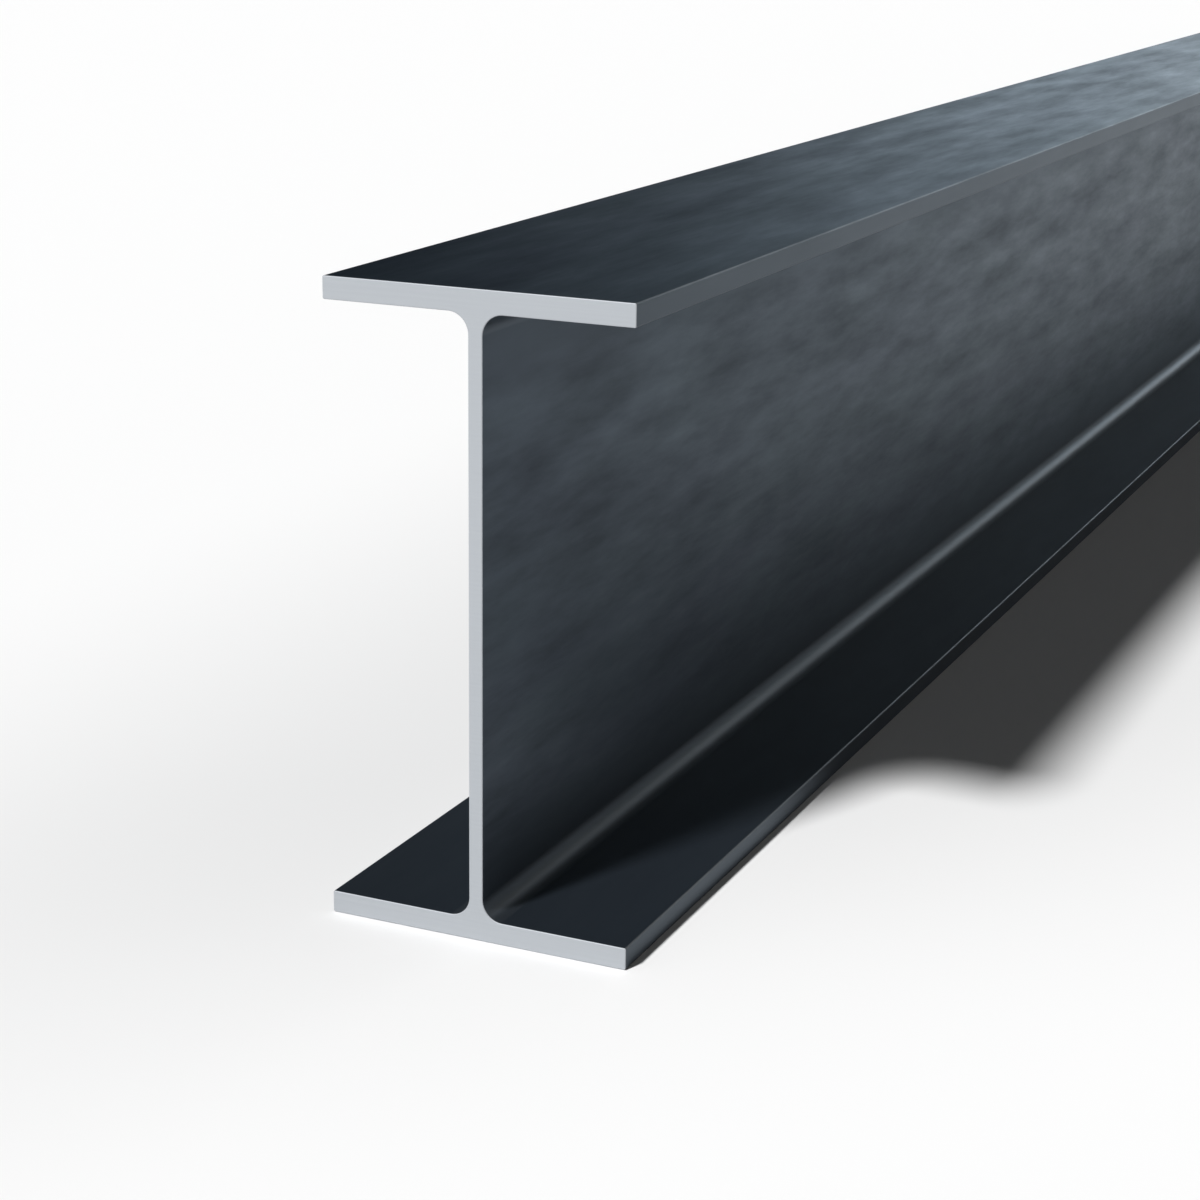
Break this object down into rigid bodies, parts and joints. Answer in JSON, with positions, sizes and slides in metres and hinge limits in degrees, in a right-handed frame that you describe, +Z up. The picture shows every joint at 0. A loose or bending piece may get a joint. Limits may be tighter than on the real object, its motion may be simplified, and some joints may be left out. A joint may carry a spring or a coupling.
{
  "type": "steel i-beam",
  "caption": "Hot-rolled steel I-beam with parallel flanges and small root fillets, sawn square at both ends, for carrying floors, roofs and frames.",
  "frame": {"origin": "middle of the bottom flange's underside, halfway along the beam's length", "axes": "+X along the beam, +Y across the flanges, +Z up through the depth of the section"},
  "size_m": [6, 0.125, 0.25],
  "materials": {
    "hot_rolled_steel": "as rolled, with dark blue-grey mill scale on the rolled faces and pale bare metal on the sawn ends"
  },
  "bodies": {
    "root": {"i_beam": "hot_rolled_steel"}
  },
  "joints": []
}
